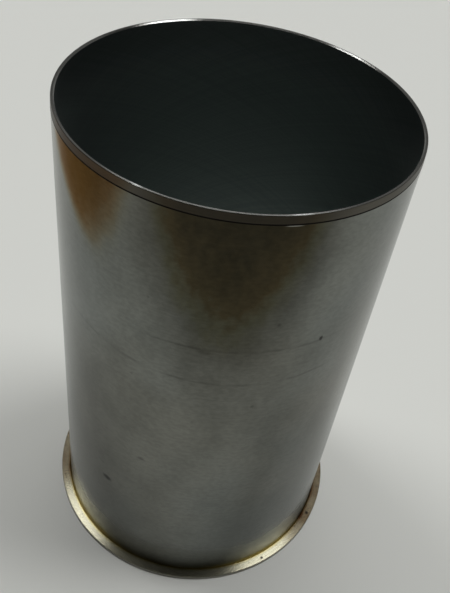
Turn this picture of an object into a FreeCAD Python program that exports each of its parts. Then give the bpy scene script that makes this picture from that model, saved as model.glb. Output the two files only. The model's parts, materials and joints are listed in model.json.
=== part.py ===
# Thin-walled dry cylinder liner of a small diesel engine, turned and ground from one piece of steel.
# It is drawn as it stands on a bench: flange down, plain end up.
# The frame has its origin at the centre of the flange's end face, with +Z along the bore to the plain end.
# Every size is in millimetres.

import FreeCAD, Part
import os
import Sketcher

PARTS_FOLDER = "parts"
PIECE = "cylinder_liner"
FULL_TURN = 360

# Driving sizes: alias, value and what the size is.
SIZES = [
    ("bore_diameter", 93.0, "honed bore that the piston runs in"),
    ("wall", 1.0, "thickness of the tube between the bore and the ground outside"),
    ("total_length", 157.5, "from the flange's end face to the plain end"),
    ("flange_overhang", 3.4, "how far the flange stands out from the ground outside"),
    ("flange_thickness", 1.5, "thickness of the flange"),
    ("flange_edge_break", 0.2, "chamfer on both rims of the flange"),
    ("relief_width", 0.5, "relief in the flange's seat at its root, across the face"),
    ("relief_depth", 0.15, "how deep that relief goes at the tube"),
    ("lead_in_length", 2.5, "turned land at the plain end that leads the liner into its block"),
    ("lead_in_taper", 0.1, "how much the land's radius falls towards the plain end"),
    ("runout_width", 0.4, "V-groove between the land and the ground outside"),
    ("runout_depth", 0.2, "how deep that groove goes"),
    ("mouth_chamfer", 0.3, "chamfer inside the plain end"),
    ("rim_edge_break", 0.1, "chamfer outside the plain end"),
    ("deck_chamfer", 0.3, "chamfer inside the flange end"),
]

# Radii and heights that several sections share, written in terms of the sheet.
BORE_RADIUS = "sizes.bore_diameter / 2"
OUTSIDE_RADIUS = f"{BORE_RADIUS} + sizes.wall"
FLANGE_RADIUS = f"{OUTSIDE_RADIUS} + sizes.flange_overhang"
RELIEF_RADIUS = f"{OUTSIDE_RADIUS} + sizes.relief_width"
RIM_RADIUS = f"{OUTSIDE_RADIUS} - sizes.lead_in_taper"
RUNOUT_RADIUS = f"{OUTSIDE_RADIUS} - sizes.runout_depth"
FLANGE_FACE = "sizes.flange_thickness"
RELIEF_FLOOR = f"{FLANGE_FACE} - sizes.relief_depth"
PLAIN_END = "sizes.total_length"
LEAD_IN_FOOT = f"{PLAIN_END} - sizes.lead_in_length"
RUNOUT_MIDDLE = f"{LEAD_IN_FOOT} + sizes.runout_width / 2"
RUNOUT_TOP = f"{LEAD_IN_FOOT} + sizes.runout_width"
AXIS_LEVEL = "0"


def make_sheet(doc):
    """Puts the driving sizes in a spreadsheet, one row each, with the alias that expressions use."""
    sheet = doc.addObject("Spreadsheet::Sheet", "sizes")
    for row, (alias, value, meaning) in enumerate(SIZES, start=1):
        sheet.set(f"A{row}", alias)
        sheet.set(f"B{row}", str(value))
        sheet.set(f"C{row}", meaning)
        sheet.setAlias(f"B{row}", alias)
    doc.recompute()


def section_sketch(body, name):
    """An empty sketch on the plane through the axis: its x is the radius and its y is the height."""
    plane = next(item for item in body.Origin.OriginFeatures if item.Role == "XZ_Plane")
    sketch = body.newObject("Sketcher::SketchObject", name)
    sketch.AttachmentSupport = [(plane, "")]
    sketch.MapMode = "FlatFace"
    return sketch


def value_of(sketch, expression):
    """The number that an expression on the sheet has now."""
    return float(sketch.evalExpression(expression))


def hold_point(sketch, line, end, radius, height):
    """Ties one end of a line to a radius and a height, each an expression on the sheet."""
    for kind, axis_line, expression in (("DistanceX", -2, radius), ("DistanceY", -1, height)):
        if expression == AXIS_LEVEL:
            sketch.addConstraint(Sketcher.Constraint("PointOnObject", line, end, axis_line))
            continue
        number = value_of(sketch, expression)
        index = sketch.addConstraint(Sketcher.Constraint(kind, -1, 1, line, end, number))
        sketch.setExpression(f"Constraints[{index}]", expression)


def closed_section(body, name, corners):
    """A closed outline of straight lines through corners given as (radius, height) expressions."""
    sketch = section_sketch(body, name)
    points = [FreeCAD.Vector(value_of(sketch, r), value_of(sketch, z), 0) for r, z in corners]
    count = len(points)
    for i in range(count):
        sketch.addGeometry(Part.LineSegment(points[i], points[(i + 1) % count]))
    for i in range(count):
        sketch.addConstraint(Sketcher.Constraint("Coincident", i, 2, (i + 1) % count, 1))
    for i, (radius, height) in enumerate(corners):
        hold_point(sketch, i, 1, radius, height)
    return sketch


def turn(body, kind, name, sketch):
    """Revolves a section a full turn about the liner's axis, adding or removing metal."""
    feature = body.newObject(kind, name)
    feature.Profile = sketch
    feature.ReferenceAxis = (sketch, ["V_Axis"])
    feature.Angle = FULL_TURN


def cut_round(doc, body, name, sketch):
    """Turns a groove out of the body, and makes sure that it took metal away."""
    before = body.Shape.Volume
    turn(body, "PartDesign::Groove", name, sketch)
    doc.recompute()
    if body.Shape.Volume >= before:
        raise RuntimeError(f"{name} removed no metal")


def rim_names(shape, sketch, rims):
    """The names of the round edges that lie at the given (radius, height) expressions."""
    names = []
    for radius, height in rims:
        r = value_of(sketch, radius)
        z = value_of(sketch, height)
        for i, edge in enumerate(shape.Edges, start=1):
            if not isinstance(edge.Curve, Part.Circle):
                continue
            if abs(edge.Curve.Radius - r) < 1e-6 and abs(edge.Curve.Center.z - z) < 1e-6:
                names.append(f"Edge{i}")
    if len(names) != len(rims):
        raise RuntimeError(f"found {len(names)} of {len(rims)} rims")
    return names


def break_edges(doc, body, name, sketch, rims, size):
    """Chamfers the round edges at the given places."""
    base = body.Tip
    feature = body.newObject("PartDesign::Chamfer", name)
    feature.Base = (base, rim_names(base.Shape, sketch, rims))
    feature.setExpression("Size", size)
    doc.recompute()


def make_liner(doc):
    """The liner as it is machined: blank, lead-in land, relief at the flange, broken edges."""
    body = doc.addObject("PartDesign::Body", PIECE)
    body.Label = PIECE

    # Tube and flange in one section, with the bore already through.
    blank = closed_section(
        body,
        "blank_section",
        [
            (BORE_RADIUS, AXIS_LEVEL),
            (FLANGE_RADIUS, AXIS_LEVEL),
            (FLANGE_RADIUS, FLANGE_FACE),
            (OUTSIDE_RADIUS, FLANGE_FACE),
            (OUTSIDE_RADIUS, PLAIN_END),
            (BORE_RADIUS, PLAIN_END),
        ],
    )
    turn(body, "PartDesign::Revolution", "blank", blank)
    doc.recompute()

    # Tapered land at the plain end, with the V-groove where the grinding wheel ran out.
    lead_in = closed_section(
        body,
        "lead_in_section",
        [
            (OUTSIDE_RADIUS, LEAD_IN_FOOT),
            (FLANGE_RADIUS, LEAD_IN_FOOT),
            (FLANGE_RADIUS, PLAIN_END),
            (RIM_RADIUS, PLAIN_END),
            (OUTSIDE_RADIUS, RUNOUT_TOP),
            (RUNOUT_RADIUS, RUNOUT_MIDDLE),
        ],
    )
    cut_round(doc, body, "lead_in_land", lead_in)

    # Relief in the flange's seat, so that the corner of its counterbore never holds it off.
    # It is cut into the flange, because the wall is too thin to lose any metal.
    relief = closed_section(
        body,
        "relief_section",
        [
            (OUTSIDE_RADIUS, RELIEF_FLOOR),
            (RELIEF_RADIUS, FLANGE_FACE),
            (OUTSIDE_RADIUS, FLANGE_FACE),
        ],
    )
    cut_round(doc, body, "seat_relief", relief)

    # Edges broken last: the bore's two mouths, the plain end's outer rim and the flange's two rims.
    break_edges(doc, body, "chamfer_plain_mouth", blank, [(BORE_RADIUS, PLAIN_END)], "sizes.mouth_chamfer")
    break_edges(doc, body, "chamfer_deck_mouth", blank, [(BORE_RADIUS, AXIS_LEVEL)], "sizes.deck_chamfer")
    break_edges(doc, body, "break_plain_rim", blank, [(RIM_RADIUS, PLAIN_END)], "sizes.rim_edge_break")
    flange_rims = [(FLANGE_RADIUS, AXIS_LEVEL), (FLANGE_RADIUS, FLANGE_FACE)]
    break_edges(doc, body, "break_flange_rims", blank, flange_rims, "sizes.flange_edge_break")
    return body


def check_document(doc, pieces):
    """Stops if anything failed to build, or if a piece isn't one valid solid."""
    for item in doc.Objects:
        if "Invalid" in item.State or "Error" in item.State:
            raise RuntimeError(f"{item.Label} did not build: {item.State}")
    for piece in pieces:
        shape = piece.Shape
        if shape.isNull() or not shape.isValid() or len(shape.Solids) != 1:
            raise RuntimeError(f"{piece.Label} is not one valid solid")


def export(pieces):
    """Writes each piece to a STEP file of its own name."""
    os.makedirs(PARTS_FOLDER, exist_ok=True)
    for piece in pieces:
        piece.Shape.exportStep(os.path.join(PARTS_FOLDER, f"{piece.Label}.step"))
        box = piece.Shape.BoundBox
        size = f"{box.XLength:.2f} x {box.YLength:.2f} x {box.ZLength:.2f} mm"
        print(f"{piece.Label}: {size}, {piece.Shape.Volume / 1000:.2f} cm3")


def main():
    doc = FreeCAD.newDocument("liner")
    make_sheet(doc)
    pieces = [make_liner(doc)]
    doc.recompute()
    check_document(doc, pieces)
    export(pieces)


main()
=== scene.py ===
# Thin-walled dry cylinder liner: the ground tube, its honed bore and its bright narrow flange.
# The form and the sizes come from the frame. Here the liner gets its round, smooth surface and its finishes.
import bmesh
import bpy
import json
import math
from mathutils import Matrix, Vector


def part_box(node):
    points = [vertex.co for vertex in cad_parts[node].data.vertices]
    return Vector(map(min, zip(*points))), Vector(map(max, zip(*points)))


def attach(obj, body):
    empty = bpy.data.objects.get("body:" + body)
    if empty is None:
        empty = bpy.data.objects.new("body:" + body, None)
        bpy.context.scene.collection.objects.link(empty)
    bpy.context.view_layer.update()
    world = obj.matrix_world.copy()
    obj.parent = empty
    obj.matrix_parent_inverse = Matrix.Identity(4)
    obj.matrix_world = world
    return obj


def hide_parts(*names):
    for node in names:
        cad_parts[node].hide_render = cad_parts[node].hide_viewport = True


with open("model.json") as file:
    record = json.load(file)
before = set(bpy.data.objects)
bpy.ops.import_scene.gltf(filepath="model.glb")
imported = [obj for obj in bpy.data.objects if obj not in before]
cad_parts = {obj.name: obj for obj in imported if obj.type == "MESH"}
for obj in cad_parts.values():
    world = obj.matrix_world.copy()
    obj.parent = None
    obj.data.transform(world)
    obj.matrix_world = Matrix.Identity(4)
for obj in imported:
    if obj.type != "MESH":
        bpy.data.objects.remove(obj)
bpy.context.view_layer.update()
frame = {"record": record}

scene = bpy.context.scene
scene.view_settings.view_transform = "Standard"

MM = 0.001
FULL_TURN = math.tau
NODE = "cylinder_liner"

# Sizes that the frame's mounts and box give, in metres.
mounts = {mount["name"]: mount for mount in frame["record"]["mounts"]}
low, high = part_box(NODE)
BORE_RADIUS = mounts["bore"]["dims"]["r_mm"] * MM
OUTSIDE_RADIUS = mounts["outside"]["dims"]["r_mm"] * MM
FLANGE_RADIUS = (high.x - low.x) / 2
PLAIN_END = high.z
FLANGE_FACE = mounts["flange_seat"]["pos_m"][2]
WALL_MIDDLE = mounts["outside"]["pos_m"][2]
WALL_HALF = mounts["outside"]["dims"]["length_mm"] * MM / 2
RELIEF_FLOOR = WALL_MIDDLE - WALL_HALF
LAND_FOOT = WALL_MIDDLE + WALL_HALF
MOUTH_CHAMFER = mounts["bore"]["pos_m"][2] - mounts["bore"]["dims"]["length_mm"] * MM / 2

# Sizes too small for a mount, the same as in the solid.
RELIEF_WIDTH = 0.5 * MM
RUNOUT_WIDTH = 0.4 * MM
RUNOUT_DEPTH = 0.2 * MM
LAND_TAPER = 0.1 * MM
RIM_EDGE_BREAK = 0.1 * MM
FLANGE_EDGE_BREAK = 0.2 * MM

# Smoothness of the turned surface.
STEPS_ROUND = 360
MERGE_DISTANCE = 0.001 * MM
SHARP_ANGLE = math.radians(10)
TURNING_MAP = "turning"

# The camera, fitted to the rims, sides and flange of the liner in the photograph.
PHOTO_WIDTH = 450
PHOTO_HEIGHT = 593
FOCAL_PX = 737.9
CENTRE_X_PX = 257.9
CENTRE_Y_PX = 299.6
CAMERA_BACK = 170.0 * MM
CAMERA_UP = 249.5 * MM
CAMERA_YAW = math.radians(4.38)
CAMERA_PITCH = math.radians(43.16)
CAMERA_ROLL = math.radians(-11.01)
SENSOR_MM = 36.0
NEAREST_SEEN = 0.01
FARTHEST_SEEN = 50.0

# Soft lights far away, with angles in degrees: azimuth 0 is towards the camera, 90 to its right.
LIGHTS = {
    "right_light": {"azimuth": 104, "elevation": 65, "width": 21, "strength": 1.18},
    "left_light": {"azimuth": -119, "elevation": 61, "width": 18, "strength": 0.8},
    "back_light": {"azimuth": 180, "elevation": 73, "width": 36, "strength": 0.72},
}

# The room that the metal mirrors, from the top of its back wall down and forwards. Each step goes along one
# part of the direction, from its own level at its start to what the steps before it give, at its end.
ROOM_WHITE = "#fbfcf9"
TOP_OF_BACK_WALL = 0.13
ROOM_STEPS = [
    # The dim band on the back wall.
    {"along": "Z", "start": 0.58, "end": 0.75, "level": 0.3},
    # Darker under the band.
    {"along": "Z", "start": 0.43, "end": 0.52, "level": 0.08},
    # Dark overhead, in front and at both sides.
    {"along": "Y", "start": 0.1, "end": 0.5, "level": 0.03},
    # Pale round the horizon.
    {"along": "Z", "start": 0.08, "end": 0.305, "level": 0.585},
]

# The floor, in metres, so wide that its edge lies near the horizon.
FLOOR_RADIUS = 6.0
FLOOR_SIDES = 64

# A grain is the size of a pattern's lumps in millimetres: twice across the axis, then along it, or outwards
# for the marks of facing. The real tool marks are finer than a pixel, about a tenth of a millimetre apart or
# less, so these are as coarse as it takes to show them.
GRINDING_GRAIN = (40, 40, 0.5)
GRINDING_DEPTH = 0.0001 * MM
TURNING_GRAIN = (12, 12, 0.25)
EDGE_TURNING_GRAIN = (10, 10, 0.3)
TURNING_DEPTH = 0.002 * MM
FACING_GRAIN = (14, 14, 0.3)
FACING_DEPTH = 0.002 * MM
HONING_GRAIN = (1.2, 1.2, 60)
HONING_DEPTH = 0.001 * MM
HONING_ANGLE = math.radians(25)
HONING_TWIST = 1 / (BORE_RADIUS * math.tan(HONING_ANGLE))

# Unevenness of the steel, of what lies on it, and of the painted reflections.
BROAD_GRAIN = (60, 60, 60)
MOTTLE_GRAIN = (14, 14, 20)
FINE_GRAIN = (1.6, 1.6, 0.9)
REFLECTION_EDGE_GRAIN = (9, 9, 14)
REFLECTION_GRAIN = (2.5, 2.5, 3.5)
SCRATCH_GRAIN = (5, 5, 2)
CRUST_GRAIN = (2, 2, 1)
CRUST_DEPTH = 0.02 * MM
STAIN_GRAIN = (9, 9, 9)
SPECK_GRAIN = (1.4, 1.4, 1.4)
FLECK_GRAIN = (0.6, 0.6, 0.6)
FLECK_DEPTH = 0.016 * MM

# Windows that a pattern is stretched from. Noise lies nearly all in the first, about its middle.
NOISE_MIDDLE = 0.5
NOISE = {"From Min": 0.3, "From Max": 0.7}
MIDDLE_NOISE = {"From Min": 0.35, "From Max": 0.65}
STAIN_NOISE = {"From Min": 0.3, "From Max": 0.65}
SPECK_NOISE = {"From Min": 0.66, "From Max": 0.72}
CROSSED_NOISE = {"From Min": 0.1, "From Max": 0.4}

# The ground wall's roughness goes between these two. Old oil low on the wall adds its dullness to that.
SATIN_ROUGHNESS = {"To Min": 0.17, "To Max": 0.22}
LOW_OIL_DULLNESS = 0.17

# Old oil, as heights where it is gone and where it is thick: low on the wall, and in the bore's mouth.
LOW_OIL = {"From Min": 19 * MM, "From Max": 9 * MM}
MOUTH_OIL = {"From Min": PLAIN_END - 17 * MM, "From Max": PLAIN_END}

# Painted reflections of brown surroundings, as brown patches under the plain end, in degrees and millimetres.
# Each has the azimuth of its middle, the height of its foot, how fast it narrows downwards and its fades
# across the foot.
# Its left edge comes in between two azimuths at the plain end, and moves right on the way down by the slant,
# in degrees a millimetre. Its tints are what it lets through at each strength, of 1 where it is full.
REFLECTION_RAGGED = 12 * MM
REFLECTION_PATCHINESS = {"To Min": 0.95, "To Max": 1.05}
LAND_REFLECTION_SHARE = 0.8
GLANCING_REFLECTION_SHARE = 0.5
PAINTED_REFLECTIONS = [
    {
        "middle": 3.5,
        "foot": 120.9,
        "narrowing": 1.67,
        "fade_below": 45,
        "fade_above": 33,
        "left_edge": (-90, -60),
        "slant": 0.0,
        "tints": [(0.45, "#cbc9c6"), (0.65, "#aeaa97"), (0.78, "#97886e"), (1.0, "#756d5d")],
    },
    {
        "middle": -45.5,
        "foot": 142.3,
        "narrowing": 1.8,
        "fade_below": 22,
        "fade_above": 10,
        "left_edge": (-77, -64),
        "slant": 1.15,
        "tints": [
            (0.15, "#faf8f2"),
            (0.35, "#eee0ca"),
            (0.55, "#dec3a3"),
            (0.75, "#cfa981"),
            (1.0, "#be9569"),
        ],
    },
]

# Small marks on the ground wall: azimuth, height, width and height of the oval in millimetres, and darkness.
# Their outlines wander by up to the raggedness, in lumps of the wobble's size.
MARK_WOBBLE = 0.8 * MM
MARK_RAGGED = 0.5 * MM
MARKS = [
    (36.3, 115.7, 1.5, 1.8, 0.95),
    (-34.3, 40.0, 4.2, 2.6, 1.0),
    (-19.0, 61.3, 2.6, 1.8, 0.4),
    (-34.3, 66.3, 2.0, 2.0, 0.2),
    (-45.4, 65.5, 2.0, 2.0, 0.2),
    (-36.5, 46.7, 1.6, 1.6, 0.2),
    (16.8, 93.4, 1.2, 1.2, 0.3),
    (-24.0, 98.0, 1.2, 1.2, 0.3),
    (-2.0, 85.6, 1.2, 1.2, 0.25),
    (-19.4, 127.9, 1.2, 1.2, 0.3),
    (20.0, 124.6, 1.3, 1.3, 0.35),
    (-1.0, 114.5, 3.5, 3.0, 0.25),
    (-58.0, 123.8, 1.2, 4.0, 0.4),
    (-59.0, 141.0, 1.0, 2.2, 0.4),
]

# A mark is full inside its core and gone at its reach, as shares of its half size.
MARK_EDGE = {"From Min": 1.2, "From Max": 0.4}

# Painted highlights, laid out like the marks: a glint under the groove, and glints on the rim.
UNDER_GROOVE_MM = LAND_FOOT / MM - 0.15
RIM_MM = PLAIN_END / MM
WALL_PAINTED_GLINTS = [(17.6, UNDER_GROOVE_MM, 4.4, 0.35, 0.28)]
RIM_PAINTED_GLINTS = [
    (-25.2, RIM_MM, 3.4, 3.4, 0.9),
    (19.5, RIM_MM, 5.0, 5.0, 0.6),
    (-148.5, RIM_MM, 17.0, 3.0, 0.6),
    (142.5, RIM_MM, 12.5, 3.0, 0.6),
]

# Two faint lines part of the way round, at heights in millimetres on planes that tilt by the rises, between
# azimuths in degrees.
SCRATCH_HALF_WIDTH = 0.7 * MM
SCRATCH_FADE = math.radians(12)
SCRATCH_FAINTEST = 0.02
SCRATCH_DARKEST = 0.32
SCRATCHES = [
    {"height": 108.55, "rise_right": 0.021, "rise_back": -0.1305, "from": -60, "to": 48},
    {"height": 115.0, "rise_right": 0.0, "rise_back": 0.0, "from": -30, "to": 48},
]

# The flange is stained round the back. Each side goes from clean to stained between two azimuths in degrees,
# and the stain's palest patches have the thinnest share of it.
STAINED_SIDES = [(45, 60), (-58, -76)]
STAIN_THINNEST = 0.55

# The flange's straw tint is strongest at the relief and gone at this radius. Brown specks lie on all of it.
STRAW_REACH = OUTSIDE_RADIUS + 1.4 * MM
SPECK_STRENGTH = 0.7

# Dark spots on the flange: azimuth, radius and diameter in millimetres, and darkness.
FLANGE_SPOTS = [
    (66.3, 49.5, 1.5, 0.95),
    (35.7, 49.7, 1.15, 1.0),
    (81.0, 49.9, 0.8, 0.5),
    (-49.5, 49.0, 0.6, 0.5),
]

# Settings that nodes share: a smooth step, a mix of two colours, and a colour seen through another.
SMOOTH = {"interpolation_type": "SMOOTHSTEP"}
COLOURS = {"data_type": "RGBA"}
TINTING = {"data_type": "RGBA", "blend_type": "MULTIPLY"}
WHITE = "#ffffff"


def linear(hex_colour):
    """An sRGB hex colour as the linear RGBA that shaders take."""
    parts = [int(hex_colour[i : i + 2], 16) / 255 for i in (1, 3, 5)]
    return [c / 12.92 if c <= 0.04045 else ((c + 0.055) / 1.055) ** 2.4 for c in parts] + [1.0]


def add(tree, kind, inputs=None, **settings):
    """Adds a node with its settings, sets or links its inputs, and returns its first output in use.

    An input goes by its name, or by its place among those in use. One that is text is a hex colour.
    """
    node = tree.nodes.new(kind)
    for name, value in settings.items():
        setattr(node, name, value)
    live = [socket for socket in node.inputs if socket.enabled]
    for key, value in (inputs or {}).items():
        socket = live[key] if isinstance(key, int) else next(s for s in live if s.name == key)
        if isinstance(value, bpy.types.NodeSocket):
            tree.links.new(value, socket)
        else:
            socket.default_value = linear(value) if isinstance(value, str) else value
    return next((socket for socket in node.outputs if socket.enabled), None)


# The shape of the liner, turned from its section.


def section():
    """The outline's corners as (radius, height, finish of the stretch that starts there), round the metal."""
    rim_radius = OUTSIDE_RADIUS - LAND_TAPER
    land_slope = LAND_TAPER / (PLAIN_END - LAND_FOOT - RUNOUT_WIDTH)
    return [
        (BORE_RADIUS + MOUTH_CHAMFER, 0.0, "edge"),
        (BORE_RADIUS, MOUTH_CHAMFER, "bore"),
        (BORE_RADIUS, PLAIN_END - MOUTH_CHAMFER, "rim"),
        (BORE_RADIUS + MOUTH_CHAMFER, PLAIN_END, "rim"),
        (rim_radius - RIM_EDGE_BREAK, PLAIN_END, "land"),
        (rim_radius + RIM_EDGE_BREAK * land_slope, PLAIN_END - RIM_EDGE_BREAK, "land"),
        (OUTSIDE_RADIUS, LAND_FOOT + RUNOUT_WIDTH, "residue"),
        (OUTSIDE_RADIUS - RUNOUT_DEPTH, LAND_FOOT + RUNOUT_WIDTH / 2, "residue"),
        (OUTSIDE_RADIUS, LAND_FOOT, "ground"),
        (OUTSIDE_RADIUS, RELIEF_FLOOR, "root"),
        (OUTSIDE_RADIUS + RELIEF_WIDTH, FLANGE_FACE, "flange"),
        (FLANGE_RADIUS - FLANGE_EDGE_BREAK, FLANGE_FACE, "flange"),
        (FLANGE_RADIUS, FLANGE_FACE - FLANGE_EDGE_BREAK, "edge"),
        (FLANGE_RADIUS, FLANGE_EDGE_BREAK, "edge"),
        (FLANGE_RADIUS - FLANGE_EDGE_BREAK, 0.0, "edge"),
    ]


def map_corner(face, corner, along, start):
    """The map's place of one corner of a face: u runs across the tool marks, v round the axis in turns."""
    radius = math.hypot(corner.x, corner.y)
    across = along + math.dist((radius, corner.z), start)
    middle = face.calc_center_median()
    face_turn = math.atan2(middle.y, middle.x)
    turn = math.atan2(corner.y, corner.x) - face_turn
    turn = face_turn + (turn + math.pi) % FULL_TURN - math.pi
    return across / PLAIN_END, turn / FULL_TURN


def make_liner():
    """One closed, round shell with the section of the solid, turned in one full spin."""
    shell = bmesh.new()
    turning = shell.loops.layers.uv.new(TURNING_MAP)
    number = shell.verts.layers.int.new("corner_number")
    corners = section()
    ring = []
    for i, (radius, height, _) in enumerate(corners):
        point = shell.verts.new((radius, 0.0, height))
        point[number] = i
        ring.append(point)
    outline = [shell.edges.new((point, ring[i - 1])) for i, point in enumerate(ring)]
    bmesh.ops.spin(
        shell,
        geom=ring + outline,
        cent=(0, 0, 0),
        axis=(0, 0, 1),
        angle=FULL_TURN,
        steps=STEPS_ROUND,
        use_merge=True,
    )
    bmesh.ops.remove_doubles(shell, verts=shell.verts, dist=MERGE_DISTANCE)
    bmesh.ops.recalc_face_normals(shell, faces=shell.faces)

    # How far round the section each stretch starts.
    last = len(corners) - 1
    lengths = [math.dist(corners[i][:2], corners[i + 1][:2]) for i in range(last)]
    starts = [sum(lengths[:i]) for i in range(len(corners))]
    for face in shell.faces:
        numbers = {vert[number] for vert in face.verts}
        stretch = last if numbers == {0, last} else min(numbers)
        radius, height, finish = corners[stretch]
        face.smooth = True
        face.material_index = FINISHES.index(finish)
        for loop in face.loops:
            loop[turning].uv = map_corner(face, loop.vert.co, starts[stretch], (radius, height))
    for edge in shell.edges:
        edge.smooth = edge.calc_face_angle() < SHARP_ANGLE
    shell.verts.layers.int.remove(number)
    mesh = bpy.data.meshes.new("liner")
    shell.to_mesh(mesh)
    shell.free()
    piece = bpy.data.objects.new("liner", mesh)
    scene.collection.objects.link(piece)
    return piece


# Places and patterns that several finishes share.


def new_material(name):
    """An empty node material and its tree."""
    material = bpy.data.materials.new(name)
    material.use_nodes = True
    material.node_tree.nodes.clear()
    return material, material.node_tree


def new_finish(name):
    """A new material for the liner, with its tree and its object coordinates in metres."""
    material, tree = new_material(name)
    return material, tree, add(tree, "ShaderNodeTexCoord").node.outputs["Object"]


def height_at(tree, position):
    """The height above the flange's end face, in metres."""
    return add(tree, "ShaderNodeSeparateXYZ", {"Vector": position}).node.outputs["Z"]


def azimuth_at(tree, position):
    """The azimuth in radians: 0 faces the camera and more is to its right."""
    parts = add(tree, "ShaderNodeSeparateXYZ", {"Vector": position}).node
    forwards = add(tree, "ShaderNodeMath", {0: parts.outputs["Y"], 1: -1.0}, operation="MULTIPLY")
    return add(tree, "ShaderNodeMath", {0: parts.outputs["X"], 1: forwards}, operation="ARCTAN2")


def radius_at(tree, position):
    """The distance from the axis, in metres."""
    flat = add(tree, "ShaderNodeVectorMath", {0: position, 1: (1, 1, 0)}, operation="MULTIPLY")
    return add(tree, "ShaderNodeVectorMath", {0: flat}, operation="LENGTH")


def cloud(tree, position, grain, detail=3.0):
    """Noise about 0.5 whose lumps measure the grain (x, y, z) in millimetres."""
    size = [1 / (millimetres * MM) for millimetres in grain]
    stretched = add(tree, "ShaderNodeMapping", {"Vector": position, "Scale": size})
    return add(tree, "ShaderNodeTexNoise", {"Vector": stretched, "Scale": 1.0, "Detail": detail})


def face_marks(tree, position):
    """Noise in rings round the axis, as a facing tool leaves."""
    parts = add(tree, "ShaderNodeSeparateXYZ", {"Vector": position}).node
    rings = add(
        tree,
        "ShaderNodeCombineXYZ",
        {"X": parts.outputs["X"], "Y": parts.outputs["Y"], "Z": radius_at(tree, position)},
    )
    return cloud(tree, rings, FACING_GRAIN, detail=2.0)


def tinted(tree, colour, pattern, window, first, second):
    """A colour under a tint that goes from the first to the second while the pattern crosses the window."""
    share = add(tree, "ShaderNodeMapRange", {"Value": pattern, **window}, **SMOOTH)
    tint = add(tree, "ShaderNodeMix", {"Factor": share, "A": first, "B": second}, **COLOURS)
    return add(tree, "ShaderNodeMix", {"Factor": 1.0, "A": colour, "B": tint}, **TINTING)


def mark_strength(tree, position, mark, radius=OUTSIDE_RADIUS):
    """How much one small mark covers, 0 to 1. It is an oval of the given width and height."""
    azimuth, height, wide, tall, darkness = mark
    turn = math.radians(azimuth)
    centre = (radius * math.sin(turn), -radius * math.cos(turn), height * MM)
    size = (2 / (wide * MM), 2 / (wide * MM), 2 / (tall * MM))
    offset = add(tree, "ShaderNodeVectorMath", {0: position, 1: centre}, operation="SUBTRACT")
    scaled = add(tree, "ShaderNodeVectorMath", {0: offset, 1: size}, operation="MULTIPLY")
    distance = add(tree, "ShaderNodeVectorMath", {0: scaled}, operation="LENGTH")
    inputs = {"Value": distance, **MARK_EDGE, "To Max": darkness}
    return add(tree, "ShaderNodeMapRange", inputs, **SMOOTH)


def scratch_strength(tree, position, scratch):
    """How dark a faint line is: it lies where a slightly tilted plane cuts the tube, and is broken up."""
    slope = (scratch["rise_right"], scratch["rise_back"], 1.0)
    level = add(tree, "ShaderNodeVectorMath", {0: position, 1: slope}, operation="DOT_PRODUCT")
    offset = add(tree, "ShaderNodeMath", {0: level, 1: scratch["height"] * MM}, operation="SUBTRACT")
    distance = add(tree, "ShaderNodeMath", {0: offset}, operation="ABSOLUTE")
    azimuth = azimuth_at(tree, position)
    start = math.radians(scratch["from"])
    end = math.radians(scratch["to"])
    darkness = {"To Min": SCRATCH_FAINTEST, "To Max": SCRATCH_DARKEST}
    inputs = {"Value": cloud(tree, position, SCRATCH_GRAIN), **MIDDLE_NOISE, **darkness}
    strength = add(tree, "ShaderNodeMapRange", inputs, **SMOOTH)

    # Each step goes from where the line is gone to where it is full: across it, and at both its ends.
    steps = [
        (distance, SCRATCH_HALF_WIDTH, 0.0),
        (azimuth, start, start + SCRATCH_FADE),
        (azimuth, end, end - SCRATCH_FADE),
    ]
    for value, gone, full in steps:
        inputs = {"Value": value, "From Min": gone, "From Max": full}
        step = add(tree, "ShaderNodeMapRange", inputs, **SMOOTH)
        strength = add(tree, "ShaderNodeMath", {0: strength, 1: step}, operation="MULTIPLY")
    return strength


def strongest(tree, strengths):
    """The largest of several strengths at each place."""
    result = strengths[0]
    for strength in strengths[1:]:
        result = add(tree, "ShaderNodeMath", {0: result, 1: strength}, operation="MAXIMUM")
    return result


def marked(tree, colour, strengths, mark_colour):
    """A colour with marks of another colour on it."""
    inputs = {"Factor": strongest(tree, strengths), "A": colour, "B": mark_colour}
    return add(tree, "ShaderNodeMix", inputs, **COLOURS)


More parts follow.
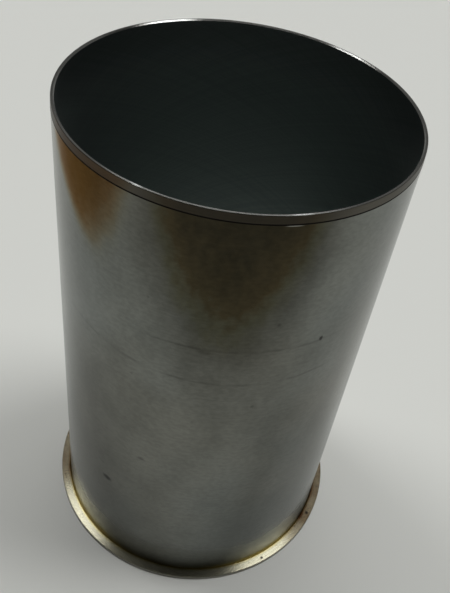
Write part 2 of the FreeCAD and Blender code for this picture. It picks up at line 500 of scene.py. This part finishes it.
def reflection_strength(tree, height, azimuth, unevenness, painted_reflection):
    """How strong a painted reflection is, 0 to 1. Its lower edge is lowest at its middle azimuth and climbs
    away from it.
    """
    middle = math.radians(painted_reflection["middle"])
    away = add(tree, "ShaderNodeMath", {0: azimuth, 1: middle}, operation="SUBTRACT")
    nearest = add(tree, "ShaderNodeMath", {0: away, 1: math.pi, 2: -math.pi}, operation="WRAP")
    sideways = add(tree, "ShaderNodeMath", {0: nearest}, operation="ABSOLUTE")
    faster = add(tree, "ShaderNodeMath", {0: sideways, 1: painted_reflection["narrowing"]}, operation="MULTIPLY")
    limited = add(tree, "ShaderNodeMath", {0: faster, 1: math.pi}, operation="MINIMUM")
    narrowing = add(tree, "ShaderNodeMath", {0: limited}, operation="COSINE")
    inputs = {0: height, 1: narrowing, 2: -painted_reflection["foot"] * MM}
    above_foot = add(tree, "ShaderNodeMath", inputs, operation="MULTIPLY_ADD")
    inputs = {0: unevenness, 1: REFLECTION_RAGGED, 2: above_foot}
    ragged = add(tree, "ShaderNodeMath", inputs, operation="MULTIPLY_ADD")
    fades = {"From Min": -painted_reflection["fade_below"] * MM, "From Max": painted_reflection["fade_above"] * MM}
    strength = add(tree, "ShaderNodeMapRange", {"Value": ragged, **fades}, **SMOOTH)
    slant = math.radians(painted_reflection["slant"]) / MM
    start, end = (math.radians(edge) + slant * PLAIN_END for edge in painted_reflection["left_edge"])
    inputs = {0: height, 1: slant, 2: azimuth}
    sheared = add(tree, "ShaderNodeMath", inputs, operation="MULTIPLY_ADD")
    inputs = {"Value": sheared, "From Min": start, "From Max": end}
    inside = add(tree, "ShaderNodeMapRange", inputs, **SMOOTH)
    return add(tree, "ShaderNodeMath", {0: strength, 1: inside}, operation="MULTIPLY")


def reflection_tint(tree, strength, painted_reflection):
    """The colour of a painted reflection of brown surroundings: clear where it is weak, brown where it is
    strong.
    """
    ramp = add(tree, "ShaderNodeValToRGB", {"Fac": strength}).node
    stops = ramp.color_ramp.elements
    stops.remove(stops[0])
    stops[0].position = 0.0
    stops[0].color = linear(WHITE)
    for place, colour in painted_reflection["tints"]:
        stops.new(place).color = linear(colour)
    return ramp.outputs["Color"]


def with_painted_reflections(tree, colour, position, share=1.0):
    """A colour with both painted reflections of brown surroundings over it. A share under 1 weakens them."""
    height = height_at(tree, position)
    azimuth = azimuth_at(tree, position)
    edges = cloud(tree, position, REFLECTION_EDGE_GRAIN, detail=4.0)
    unevenness = add(tree, "ShaderNodeMath", {0: edges, 1: NOISE_MIDDLE}, operation="SUBTRACT")
    inputs = {"Value": cloud(tree, position, REFLECTION_GRAIN), **NOISE, **REFLECTION_PATCHINESS}
    patchiness = add(tree, "ShaderNodeMapRange", inputs, **SMOOTH)
    for painted_reflection in PAINTED_REFLECTIONS:
        even = reflection_strength(tree, height, azimuth, unevenness, painted_reflection)
        strength = add(tree, "ShaderNodeMath", {0: even, 1: patchiness}, operation="MULTIPLY")
        tint = reflection_tint(tree, strength, painted_reflection)
        colour = add(tree, "ShaderNodeMix", {"Factor": share, "A": colour, "B": tint}, **TINTING)
    return colour


def stain_share(tree, position):
    """How stained the flange is, 0 to 1: not in front, and in patches from both sides round the back."""
    azimuth = azimuth_at(tree, position)
    sides = []
    for clean, stained in STAINED_SIDES:
        window = {"From Min": math.radians(clean), "From Max": math.radians(stained)}
        sides.append(add(tree, "ShaderNodeMapRange", {"Value": azimuth, **window}, **SMOOTH))
    inputs = {"Value": cloud(tree, position, STAIN_GRAIN), **STAIN_NOISE, "To Min": STAIN_THINNEST}
    patches = add(tree, "ShaderNodeMapRange", inputs, **SMOOTH)
    return add(tree, "ShaderNodeMath", {0: strongest(tree, sides), 1: patches}, operation="MULTIPLY")


def finish_metal(tree, colour, normal, roughness, anisotropic, glancing=WHITE):
    """A bare metal shader whose tool marks run round the axis, so they spread a highlight across them.

    The glancing colour darkens what the metal mirrors at grazing angles.
    """
    tangent = add(tree, "ShaderNodeTangent", direction_type="UV_MAP", uv_map=TURNING_MAP)
    inputs = {
        "Base Color": colour,
        "Metallic": 1.0,
        "Roughness": roughness,
        "Anisotropic": anisotropic,
        "Tangent": tangent,
        "Normal": normal,
        "Specular Tint": glancing,
    }
    shader = add(tree, "ShaderNodeBsdfPrincipled", inputs)
    add(tree, "ShaderNodeOutputMaterial", {"Surface": shader})


# The finishes.


def ground_steel():
    """Low-carbon steel, ground between centres: satin, with grinding lines too fine to see one by one.

    Old oil dulls it low down, and it has painted reflections of brown surroundings, small dark marks, faint
    lines and a painted glint under the groove.
    """
    material, tree, position = new_finish("ground_steel")
    height = height_at(tree, position)
    mottle = cloud(tree, position, MOTTLE_GRAIN, detail=5.0)
    lines = cloud(tree, position, GRINDING_GRAIN, detail=2.0)
    broad = cloud(tree, position, BROAD_GRAIN, detail=2.0)
    grain = cloud(tree, position, FINE_GRAIN, detail=2.0)
    share = add(tree, "ShaderNodeMapRange", {"Value": mottle, **NOISE}, **SMOOTH)
    colour = add(tree, "ShaderNodeMix", {"Factor": share, "A": "#6c6d69", "B": "#7a7b77"}, **COLOURS)
    colour = tinted(tree, colour, broad, MIDDLE_NOISE, "#fffef9", "#f9feff")
    colour = tinted(tree, colour, grain, NOISE, "#eeeeee", WHITE)
    colour = tinted(tree, colour, lines, NOISE, "#f9f9f9", WHITE)
    colour = tinted(tree, colour, height, LOW_OIL, WHITE, "#ebe9e3")
    # Painted reflections of brown surroundings, as a tint over the colour and, in part, over the glancing
    # colour.
    painted_reflection = with_painted_reflections(tree, WHITE, position)
    colour = add(tree, "ShaderNodeMix", {"Factor": 1.0, "A": colour, "B": painted_reflection}, **TINTING)
    inputs = {"Factor": GLANCING_REFLECTION_SHARE, "A": "#ebebeb", "B": painted_reflection}
    glancing = add(tree, "ShaderNodeMix", inputs, **COLOURS)

    # The marks' outlines are ragged: each place is shaken a little before it is looked up.
    inputs = {"Vector": position, "Scale": 1 / MARK_WOBBLE, "Detail": 1.0}
    shake = add(tree, "ShaderNodeTexNoise", inputs).node.outputs["Color"]
    inputs = {0: shake, 1: (MARK_RAGGED, MARK_RAGGED, MARK_RAGGED), 2: position}
    shaken = add(tree, "ShaderNodeVectorMath", inputs, operation="MULTIPLY_ADD")
    dark = [mark_strength(tree, shaken, mark) for mark in MARKS]
    dark += [scratch_strength(tree, position, scratch) for scratch in SCRATCHES]
    colour = marked(tree, colour, dark, "#1d1b18")
    # Painted highlight: a bright glint just under the groove.
    painted_glints = [mark_strength(tree, position, painted_glint) for painted_glint in WALL_PAINTED_GLINTS]
    colour = marked(tree, colour, painted_glints, "#c9cbc6")

    inputs = {"Value": mottle, **NOISE, **SATIN_ROUGHNESS}
    satin = add(tree, "ShaderNodeMapRange", inputs, **SMOOTH)
    inputs = {"Value": height, **LOW_OIL, "To Max": LOW_OIL_DULLNESS}
    duller = add(tree, "ShaderNodeMapRange", inputs, **SMOOTH)
    roughness = add(tree, "ShaderNodeMath", {0: satin, 1: duller}, operation="ADD")
    normal = add(tree, "ShaderNodeBump", {"Height": lines, "Distance": GRINDING_DEPTH})
    finish_metal(tree, colour, normal, roughness, anisotropic=0.4, glancing=glancing)
    return material


def turned_land():
    """The same steel as the lathe left it: coarser lines, darker than the ground wall, and browner where the
    painted reflections of brown surroundings lie over it.
    """
    material, tree, position = new_finish("turned_land")
    lines = cloud(tree, position, TURNING_GRAIN, detail=2.0)
    clean = add(tree, "ShaderNodeMix", {"Factor": lines, "A": "#4d4a44", "B": "#5f5c55"}, **COLOURS)
    # Painted reflections of brown surroundings, weaker here than on the ground wall.
    colour = with_painted_reflections(tree, clean, position, LAND_REFLECTION_SHARE)
    normal = add(tree, "ShaderNodeBump", {"Height": lines, "Distance": TURNING_DEPTH})
    finish_metal(tree, colour, normal, roughness=0.34, anisotropic=0.4, glancing="#dedede")
    return material


def groove_residue():
    """Dried oil and grinding dust that fills the fine groove: nearly black and dull."""
    material, tree, position = new_finish("groove_residue")
    crust = cloud(tree, position, CRUST_GRAIN)
    colour = add(tree, "ShaderNodeMix", {"Factor": crust, "A": "#0f0d0b", "B": "#221d19"}, **COLOURS)
    normal = add(tree, "ShaderNodeBump", {"Height": crust, "Distance": CRUST_DEPTH})
    inputs = {"Base Color": colour, "Roughness": 0.7, "Normal": normal, "Specular IOR Level": 0.2}
    shader = add(tree, "ShaderNodeBsdfPrincipled", inputs)
    add(tree, "ShaderNodeOutputMaterial", {"Surface": shader})
    return material


def faced_rim():
    """Steel faced on a lathe at the plain end: bright rings that flash where a light lies across them."""
    material, tree, position = new_finish("faced_rim")
    rings = face_marks(tree, position)
    colour = add(tree, "ShaderNodeMix", {"Factor": rings, "A": "#80807d", "B": "#9e9e9a"}, **COLOURS)
    # Painted highlights: glints on the rim where the lamps flash.
    painted_glints = [mark_strength(tree, position, painted_glint) for painted_glint in RIM_PAINTED_GLINTS]
    colour = marked(tree, colour, painted_glints, "#e6e8e6")
    normal = add(tree, "ShaderNodeBump", {"Height": rings, "Distance": FACING_DEPTH})
    finish_metal(tree, colour, normal, roughness=0.23, anisotropic=1.0)
    return material


def stained_root():
    """The relief at the flange's root: turned steel, golden brown from old oil that gathers there."""
    material, tree, position = new_finish("stained_root")
    rings = face_marks(tree, position)
    colour = add(tree, "ShaderNodeMix", {"Factor": rings, "A": "#8f7a36", "B": "#a38e48"}, **COLOURS)
    stain = stain_share(tree, position)
    colour = add(tree, "ShaderNodeMix", {"Factor": stain, "A": colour, "B": "#46301f"}, **COLOURS)
    normal = add(tree, "ShaderNodeBump", {"Height": rings, "Distance": FACING_DEPTH})
    finish_metal(tree, colour, normal, roughness=0.25, anisotropic=1.0)
    return material


def faced_flange():
    """The faced seat of the flange: bright rings with a straw tint from handling, browner at the sides."""
    material, tree, position = new_finish("faced_flange")
    rings = face_marks(tree, position)
    colour = add(tree, "ShaderNodeMix", {"Factor": rings, "A": "#918e7b", "B": "#a4a18e"}, **COLOURS)
    straw = {"From Min": STRAW_REACH, "From Max": OUTSIDE_RADIUS + RELIEF_WIDTH}
    inputs = {"Value": radius_at(tree, position), **straw}
    near_root = add(tree, "ShaderNodeMapRange", inputs, **SMOOTH)
    colour = add(tree, "ShaderNodeMix", {"Factor": near_root, "A": colour, "B": "#fff6d8"}, **TINTING)
    brown = add(tree, "ShaderNodeMix", {"Factor": near_root, "A": "#b5a294", "B": "#815846"}, **COLOURS)
    stain = stain_share(tree, position)
    colour = add(tree, "ShaderNodeMix", {"Factor": stain, "A": colour, "B": brown}, **TINTING)
    grit = cloud(tree, position, SPECK_GRAIN, detail=2.0)
    inputs = {"Value": grit, **SPECK_NOISE, "To Max": SPECK_STRENGTH}
    specks = add(tree, "ShaderNodeMapRange", inputs, **SMOOTH)
    colour = add(tree, "ShaderNodeMix", {"Factor": specks, "A": colour, "B": "#a08a58"}, **TINTING)
    spots = []
    for azimuth, radius, size, darkness in FLANGE_SPOTS:
        spot = (azimuth, FLANGE_FACE / MM, size, size, darkness)
        spots.append(mark_strength(tree, position, spot, radius * MM))
    colour = marked(tree, colour, spots, "#171310")
    flecks = cloud(tree, position, FLECK_GRAIN, detail=1.0)
    flecked = add(tree, "ShaderNodeBump", {"Height": flecks, "Distance": FLECK_DEPTH})
    inputs = {"Height": rings, "Distance": FACING_DEPTH, "Normal": flecked}
    normal = add(tree, "ShaderNodeBump", inputs)
    finish_metal(tree, colour, normal, roughness=0.23, anisotropic=1.0)
    return material


def turned_edge():
    """The turned rim and underside of the flange: plain, darker tool marks."""
    material, tree, position = new_finish("turned_edge")
    lines = cloud(tree, position, EDGE_TURNING_GRAIN, detail=2.0)
    colour = add(tree, "ShaderNodeMix", {"Factor": lines, "A": "#7b7972", "B": "#918f87"}, **COLOURS)
    normal = add(tree, "ShaderNodeBump", {"Height": lines, "Distance": TURNING_DEPTH})
    finish_metal(tree, colour, normal, roughness=0.4, anisotropic=0.5)
    return material


def honed_bore():
    """The honed running surface, dark and a little blue-green, with scratches that cross at 50 degrees.

    Old oil darkens it near the plain end's mouth.
    """
    material, tree, position = new_finish("honed_bore")
    height = height_at(tree, position)
    strokes = []
    for hand in (1, -1):
        twist = add(tree, "ShaderNodeMath", {0: height, 1: hand * HONING_TWIST}, operation="MULTIPLY")
        inputs = {"Vector": position, "Angle": twist}
        twisted = add(tree, "ShaderNodeVectorRotate", inputs, rotation_type="Z_AXIS")
        strokes.append(cloud(tree, twisted, HONING_GRAIN, detail=2.0))
    hatch = add(tree, "ShaderNodeMath", {0: strokes[0], 1: strokes[1]}, operation="MULTIPLY")
    share = add(tree, "ShaderNodeMapRange", {"Value": hatch, **CROSSED_NOISE}, **SMOOTH)
    colour = add(tree, "ShaderNodeMix", {"Factor": share, "A": "#929b99", "B": "#9da5a3"}, **COLOURS)
    colour = tinted(tree, colour, height, MOUTH_OIL, WHITE, "#aeb0b0")
    normal = add(tree, "ShaderNodeBump", {"Height": hatch, "Distance": HONING_DEPTH})
    finish_metal(tree, colour, normal, roughness=0.42, anisotropic=0.0)
    return material


# Every finish that the section names, in the order of the piece's material slots.
FINISH_MAKERS = {
    "ground": ground_steel,
    "land": turned_land,
    "residue": groove_residue,
    "rim": faced_rim,
    "root": stained_root,
    "flange": faced_flange,
    "edge": turned_edge,
    "bore": honed_bore,
}
FINISHES = list(FINISH_MAKERS)


# The studio.


def make_floor():
    """A plain pale floor that the liner stands on."""
    shell = bmesh.new()
    bmesh.ops.create_circle(shell, cap_ends=True, segments=FLOOR_SIDES, radius=FLOOR_RADIUS)
    mesh = bpy.data.meshes.new("floor")
    shell.to_mesh(mesh)
    shell.free()
    floor = bpy.data.objects.new("floor", mesh)
    scene.collection.objects.link(floor)
    material, tree = new_material("floor_paint")
    shader = add(tree, "ShaderNodeBsdfPrincipled", {"Base Color": "#d8d9d4", "Roughness": 0.8})
    add(tree, "ShaderNodeOutputMaterial", {"Surface": shader})
    mesh.materials.append(material)


def make_light(name, azimuth, elevation, width, strength):
    """A round soft light far away, with its angles in degrees."""
    lamp = bpy.data.lights.new(name, "SUN")
    lamp.angle = math.radians(width)
    lamp.energy = strength
    turn = math.radians(azimuth)
    rise = math.radians(elevation)
    towards = Vector((math.sin(turn) * math.cos(rise), -math.cos(turn) * math.cos(rise), math.sin(rise)))
    holder = bpy.data.objects.new(name, lamp)
    holder.rotation_euler = towards.to_track_quat("Z", "Y").to_euler()
    scene.collection.objects.link(holder)


def make_world():
    """The room round the liner: pale at the horizon, dark overhead, with a dim band on the back wall."""
    world = bpy.data.worlds.new("studio")
    world.use_nodes = True
    tree = world.node_tree
    tree.nodes.clear()
    direction = add(tree, "ShaderNodeTexCoord")
    parts = add(tree, "ShaderNodeSeparateXYZ", {"Vector": direction}).node
    level = TOP_OF_BACK_WALL
    for step in ROOM_STEPS:
        window = {"From Min": step["start"], "From Max": step["end"]}
        inputs = {"Value": parts.outputs[step["along"]], **window, "To Min": step["level"], "To Max": level}
        level = add(tree, "ShaderNodeMapRange", inputs, **SMOOTH)
    shade = add(tree, "ShaderNodeBackground", {"Color": ROOM_WHITE, "Strength": level})
    add(tree, "ShaderNodeOutputWorld", {"Surface": shade})
    scene.world = world


def make_camera():
    """The photograph's view. The small shift puts the lens's centre where the fit found it."""
    data = bpy.data.cameras.new("camera")
    data.sensor_width = SENSOR_MM
    data.lens = FOCAL_PX * SENSOR_MM / PHOTO_HEIGHT
    data.shift_x = (PHOTO_WIDTH / 2 - CENTRE_X_PX) / PHOTO_HEIGHT
    data.shift_y = (CENTRE_Y_PX - PHOTO_HEIGHT / 2) / PHOTO_HEIGHT
    data.clip_start = NEAREST_SEEN
    data.clip_end = FARTHEST_SEEN
    ahead = Vector(
        (
            math.sin(CAMERA_YAW) * math.cos(CAMERA_PITCH),
            math.cos(CAMERA_YAW) * math.cos(CAMERA_PITCH),
            -math.sin(CAMERA_PITCH),
        )
    )
    level_right = Vector((math.cos(CAMERA_YAW), -math.sin(CAMERA_YAW), 0))
    level_up = level_right.cross(ahead)
    right = math.cos(CAMERA_ROLL) * level_right - math.sin(CAMERA_ROLL) * level_up
    up = right.cross(ahead)
    place = Matrix((right, up, -ahead)).transposed().to_4x4()
    place.translation = (0, -CAMERA_BACK, CAMERA_UP)
    camera = bpy.data.objects.new("camera", data)
    camera.matrix_world = place
    scene.collection.objects.link(camera)
    scene.camera = camera


make_camera()
make_world()
make_floor()
for name, light in LIGHTS.items():
    make_light(name, **light)

liner = make_liner()
for make_finish in FINISH_MAKERS.values():
    liner.data.materials.append(make_finish())
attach(liner, "root")
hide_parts(NODE)
